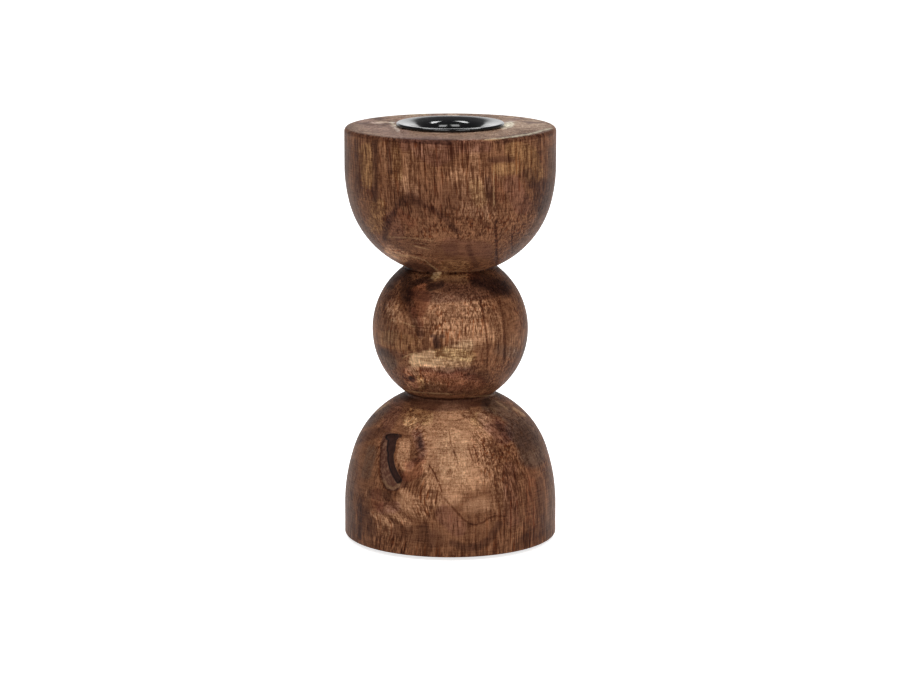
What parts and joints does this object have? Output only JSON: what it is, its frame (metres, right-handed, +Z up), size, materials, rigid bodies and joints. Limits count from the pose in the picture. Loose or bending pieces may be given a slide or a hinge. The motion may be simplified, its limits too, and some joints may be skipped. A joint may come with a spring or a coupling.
{
  "type": "candle stand",
  "caption": "Turned wooden candle stand with a domed foot, a ball and a bowl-shaped head that holds a black enamelled steel cup for one dinner candle.",
  "frame": {"origin": "on the table under the felt pads, on the turning axis", "axes": "+Z up along the turning axis, and the pictured side faces -Y"},
  "size_m": [0.0812, 0.0812, 0.1608],
  "materials": {
    "mango_wood": "satin lacquer over warm brown grain",
    "black_enamel": "gloss black enamel",
    "zinc_steel": "bright zinc plate",
    "felt": "dark wool felt"
  },
  "bodies": {
    "root": {"turned_body": "mango_wood", "candle_cup": "black_enamel", "cup_screw": "zinc_steel", "felt_pad_1": "felt", "felt_pad_2": "felt", "felt_pad_3": "felt", "felt_pad_4": "felt"}
  },
  "joints": []
}
